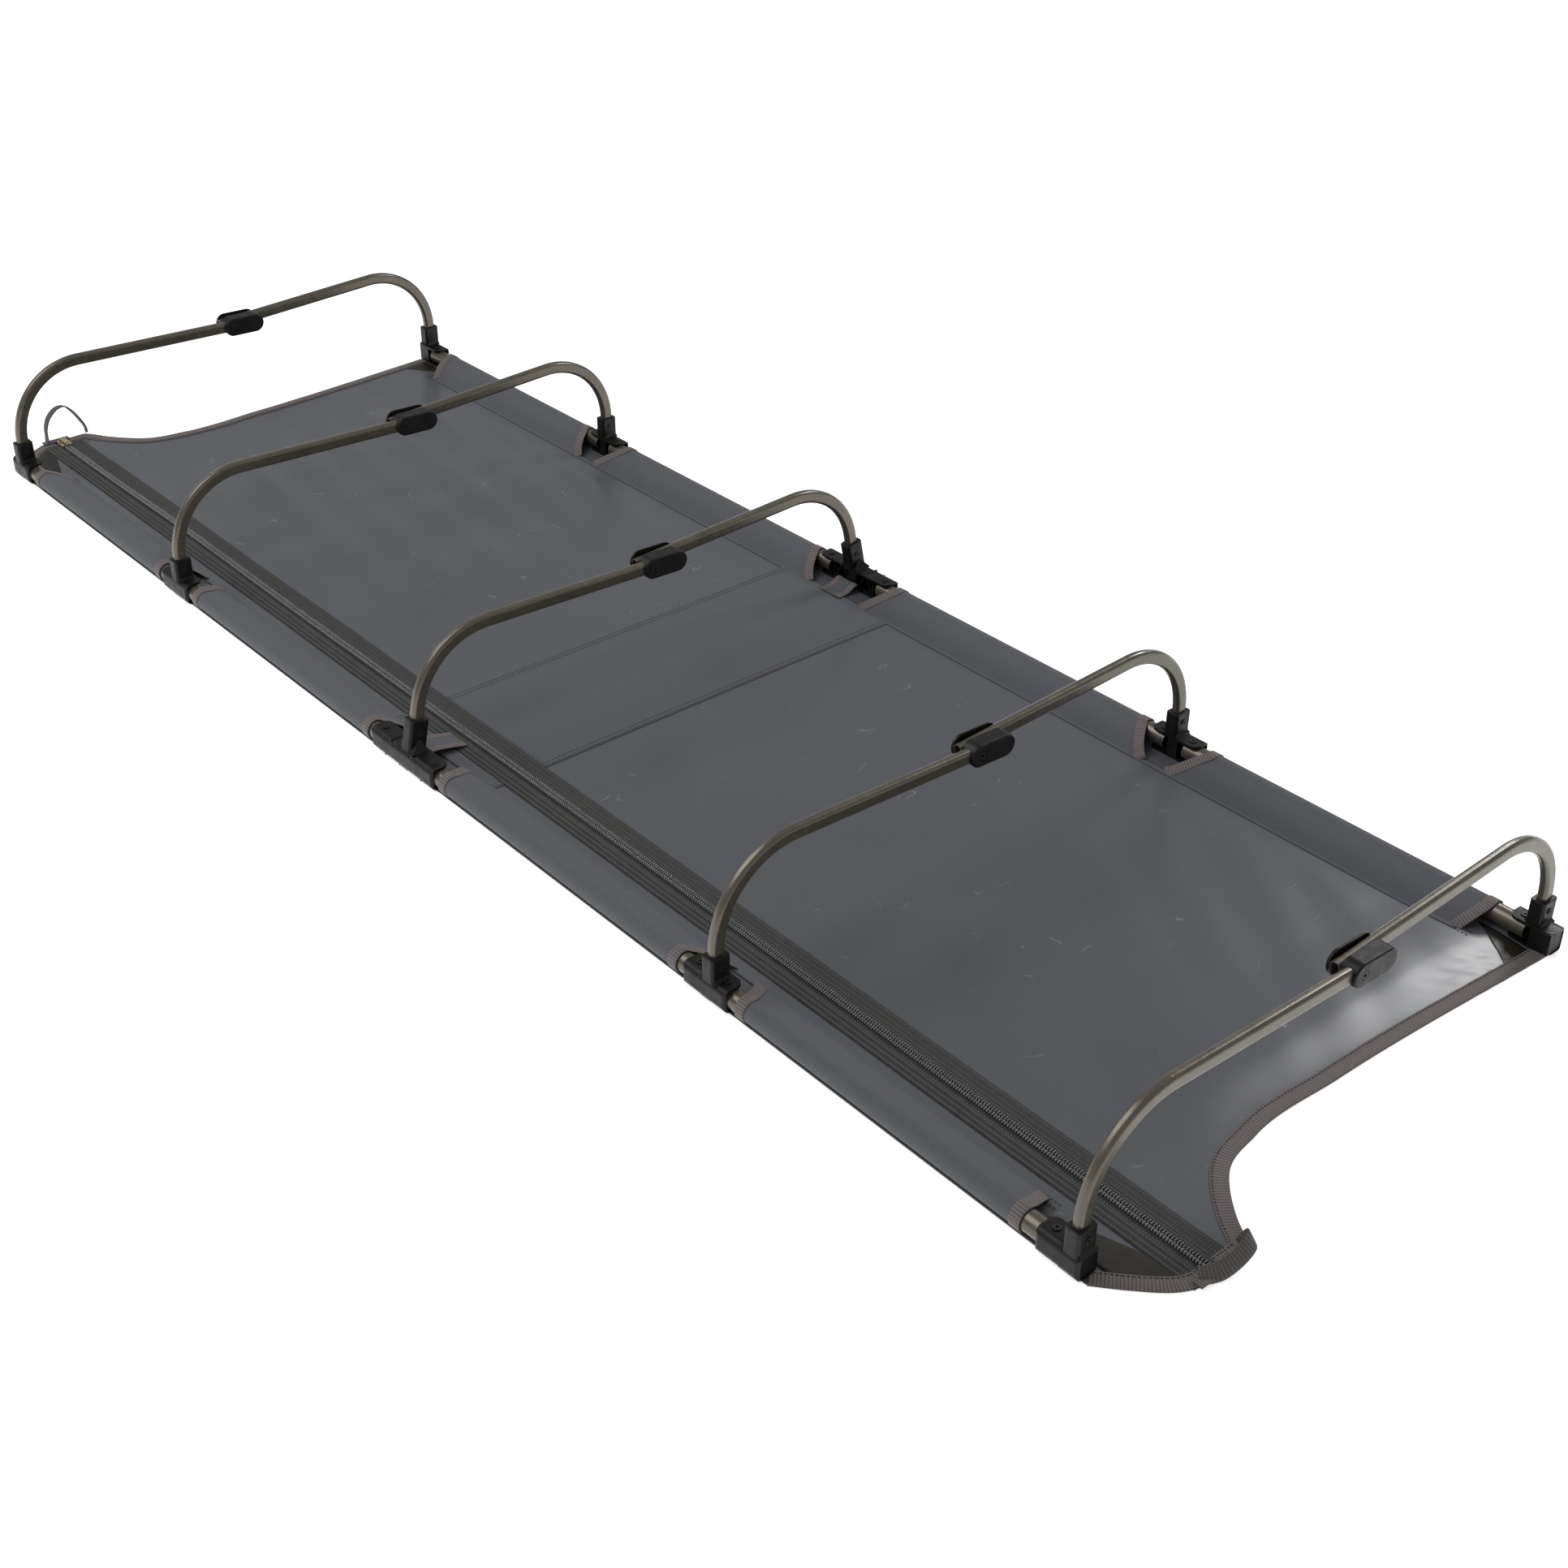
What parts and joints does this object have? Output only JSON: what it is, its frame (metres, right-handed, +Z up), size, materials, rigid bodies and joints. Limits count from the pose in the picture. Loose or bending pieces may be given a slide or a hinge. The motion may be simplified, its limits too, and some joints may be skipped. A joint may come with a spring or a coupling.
{
  "type": "folding camp stretcher",
  "caption": "Low folding camp bed shown legs up: coated cloth stretched between two jointed rails, with bent tube hoops in moulded corner fittings and a side zip.",
  "frame": {"origin": "on the floor under the middle of the bed, which lies on its cloth with the legs up", "axes": "+X from the head end to the foot end, +Y from the zipped side to the other side, +Z up from the cloth to the leg hoops"},
  "size_m": [2.036, 0.6498, 0.1485],
  "materials": {
    "moulded_plastic": "fine matt",
    "screw_steel": "plain",
    "leg_coating": "satin taupe powder coat",
    "rail_tube": "satin",
    "coated_cloth": "smooth coated back of a polyester cloth",
    "sleeve_cloth": "matt woven polyester",
    "woven_band": "matt woven",
    "grosgrain": "ribbed binding",
    "proofed_patch": "shiny proofed cloth",
    "zip_tape": "woven",
    "zip_coil": "glossy",
    "zip_metal": "plated"
  },
  "bodies": {
    "near_side": {"foot_webbing_loop": "grosgrain", "head_webbing_loop": "grosgrain", "lap_block_1": "moulded_plastic", "lap_block_2": "moulded_plastic", "lap_block_3": "moulded_plastic", "lap_block_4": "moulded_plastic", "lap_block_5": "moulded_plastic", "lap_screws": "screw_steel", "near_corner_patches": "proofed_patch", "near_end_bindings": "grosgrain", "near_fitting_1": "moulded_plastic", "near_fitting_2": "moulded_plastic", "near_fitting_3": "moulded_plastic", "near_fitting_4": "moulded_plastic", "near_fitting_5": "moulded_plastic", "near_keeper_tab": "grosgrain", "near_leg_1": "leg_coating", "near_leg_2": "leg_coating", "near_leg_3": "leg_coating", "near_leg_4": "leg_coating", "near_leg_5": "leg_coating", "near_leg_screws": "screw_steel", "near_middle_band": "woven_band", "near_panel": "coated_cloth", "near_rail_pivot_pins": "screw_steel", "near_rail_tube_1": "rail_tube", "near_rail_tube_2": "rail_tube", "near_rail_tube_3": "rail_tube", "near_rail_tube_4": "rail_tube", "near_sleeve": "sleeve_cloth", "near_zip_coil": "zip_coil", "near_zip_tape": "zip_tape"},
    "far_side": {"far_corner_patches": "proofed_patch", "far_end_bindings": "grosgrain", "far_fitting_1": "moulded_plastic", "far_fitting_2": "moulded_plastic", "far_fitting_3": "moulded_plastic", "far_fitting_4": "moulded_plastic", "far_fitting_5": "moulded_plastic", "far_keeper_tab": "grosgrain", "far_leg_1": "leg_coating", "far_leg_2": "leg_coating", "far_leg_3": "leg_coating", "far_leg_4": "leg_coating", "far_leg_5": "leg_coating", "far_leg_screws": "screw_steel", "far_middle_band": "woven_band", "far_rail_pivot_pins": "screw_steel", "far_rail_tube_1": "rail_tube", "far_rail_tube_2": "rail_tube", "far_rail_tube_3": "rail_tube", "far_rail_tube_4": "rail_tube", "far_sleeve": "sleeve_cloth", "far_zip_coil": "zip_coil", "far_zip_tape": "zip_tape", "main_panel": "coated_cloth"},
    "slider": {"zip_slider": "zip_metal"},
    "pull": {"zip_pull": "zip_metal"}
  },
  "joints": [
    {"name": "width_fold", "type": "hinge", "parent": "near_side", "child": "far_side", "pos_m": [0, 0, 0.1318], "axis": [1, 0, 0], "range_deg": [0, 178]},
    {"name": "zip_slide", "type": "slide", "parent": "near_side", "child": "slider", "axis": [1, 0, 0], "range_m": [0, 1.98]},
    {"name": "zip_pull_turn", "type": "hinge", "parent": "slider", "child": "pull", "pos_m": [-0.995, -0.235, 0.0091], "axis": [0, -1, 0], "range_deg": [0, 160]}
  ]
}
